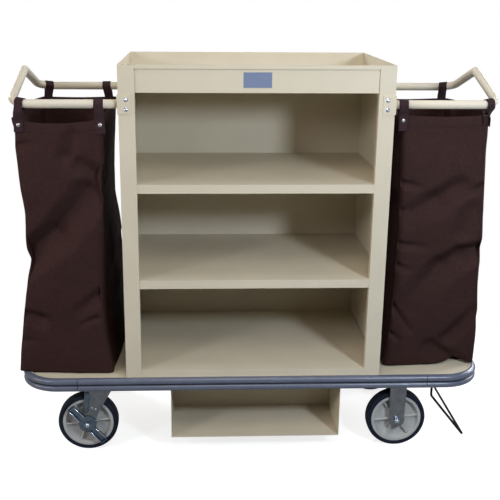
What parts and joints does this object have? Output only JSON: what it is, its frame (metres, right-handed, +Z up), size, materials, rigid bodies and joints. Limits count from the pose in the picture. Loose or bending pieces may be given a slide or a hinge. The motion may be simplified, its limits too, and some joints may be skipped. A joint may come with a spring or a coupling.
{
  "type": "housekeeping cart",
  "caption": "Long-decked housekeeping cart with an open shelved steel cabinet, a hung fabric bag at each end, a bumper round the deck and large casters.",
  "frame": {"origin": "on the floor under the middle of the cart", "axes": "+X along the cart to its right end as seen from the open front, +Y to the rear, +Z up"},
  "size_m": [1.55, 0.594, 1.3],
  "materials": {
    "cabinet_paint": "satin powder coat, beige",
    "handle_paint": "satin powder coat, cream",
    "bumper_vinyl": "smooth extruded vinyl, slate grey",
    "bag_fabric": "coated woven fabric, dark brown",
    "strap_fabric": "sewn fabric strap, dark brown",
    "snap_chrome": "polished",
    "plate_aluminium": "blank plate, satin blue-grey",
    "rack_black": "black coated rod",
    "zinc_steel": "zinc plated",
    "hub_plastic": "moulded grey plastic",
    "tyre_rubber": "dark non-marking rubber"
  },
  "bodies": {
    "cart": {"deck_pan": "cabinet_paint", "left_caster_channel": "cabinet_paint", "right_caster_channel": "cabinet_paint", "left_side_panel": "cabinet_paint", "right_side_panel": "cabinet_paint", "back_panel": "cabinet_paint", "header_panel": "cabinet_paint", "tray_floor": "cabinet_paint", "upper_shelf": "cabinet_paint", "middle_shelf": "cabinet_paint", "bottom_shelf": "cabinet_paint", "shelf_rails": "cabinet_paint", "handle_brackets": "cabinet_paint", "under_box": "cabinet_paint", "left_handle": "handle_paint", "right_handle": "handle_paint", "bumper_front": "bumper_vinyl", "bumper_rear": "bumper_vinyl", "bumper_left_end": "bumper_vinyl", "bumper_right_end": "bumper_vinyl", "left_bag": "bag_fabric", "right_bag": "bag_fabric", "left_bag_straps": "strap_fabric", "right_bag_straps": "strap_fabric", "bag_snaps": "snap_chrome", "name_plate": "plate_aluminium", "vacuum_rack": "rack_black", "handle_screws": "zinc_steel", "handle_nuts": "zinc_steel", "rack_clamps": "zinc_steel", "deck_screws": "zinc_steel", "swivel_plates": "zinc_steel", "kingpins": "zinc_steel", "fixed_forks": "zinc_steel", "fixed_axles": "zinc_steel", "caster_bolts": "zinc_steel", "caster_nuts": "zinc_steel"},
    "front_swivel": {"front_swivel_fork": "zinc_steel", "front_swivel_race": "zinc_steel", "front_swivel_axle": "zinc_steel"},
    "rear_swivel": {"rear_swivel_fork": "zinc_steel", "rear_swivel_race": "zinc_steel", "rear_swivel_axle": "zinc_steel"},
    "front_brake": {"front_brake_lever": "zinc_steel"},
    "rear_brake": {"rear_brake_lever": "zinc_steel"},
    "front_swivel_wheel": {"front_swivel_hub": "hub_plastic", "front_swivel_tyre": "tyre_rubber", "front_swivel_bush": "zinc_steel"},
    "rear_swivel_wheel": {"rear_swivel_hub": "hub_plastic", "rear_swivel_tyre": "tyre_rubber", "rear_swivel_bush": "zinc_steel"},
    "front_fixed_wheel": {"front_fixed_hub": "hub_plastic", "front_fixed_tyre": "tyre_rubber", "front_fixed_bush": "zinc_steel"},
    "rear_fixed_wheel": {"rear_fixed_hub": "hub_plastic", "rear_fixed_tyre": "tyre_rubber", "rear_fixed_bush": "zinc_steel"}
  },
  "joints": [
    {"name": "front_swivel_turn", "type": "hinge", "parent": "cart", "child": "front_swivel", "pos_m": [-0.51, -0.214, 0.225], "axis": [0, 0, 1], "continuous": true},
    {"name": "front_swivel_wheel_spin", "type": "hinge", "parent": "front_swivel", "child": "front_swivel_wheel", "pos_m": [-0.558, -0.214, 0.1015], "axis": [0, 1, 0], "continuous": true},
    {"name": "front_brake_rock", "type": "hinge", "parent": "front_swivel", "child": "front_brake", "pos_m": [-0.558, -0.214, 0.1015], "axis": [0, -1, 0], "range_deg": [0, 40]},
    {"name": "front_fixed_wheel_spin", "type": "hinge", "parent": "cart", "child": "front_fixed_wheel", "pos_m": [0.498, -0.214, 0.1015], "axis": [0, 1, 0], "continuous": true},
    {"name": "rear_swivel_turn", "type": "hinge", "parent": "cart", "child": "rear_swivel", "pos_m": [-0.51, 0.214, 0.225], "axis": [0, 0, 1], "continuous": true},
    {"name": "rear_swivel_wheel_spin", "type": "hinge", "parent": "rear_swivel", "child": "rear_swivel_wheel", "pos_m": [-0.558, 0.214, 0.1015], "axis": [0, 1, 0], "continuous": true},
    {"name": "rear_brake_rock", "type": "hinge", "parent": "rear_swivel", "child": "rear_brake", "pos_m": [-0.558, 0.214, 0.1015], "axis": [0, -1, 0], "range_deg": [0, 40]},
    {"name": "rear_fixed_wheel_spin", "type": "hinge", "parent": "cart", "child": "rear_fixed_wheel", "pos_m": [0.498, 0.214, 0.1015], "axis": [0, 1, 0], "continuous": true}
  ]
}
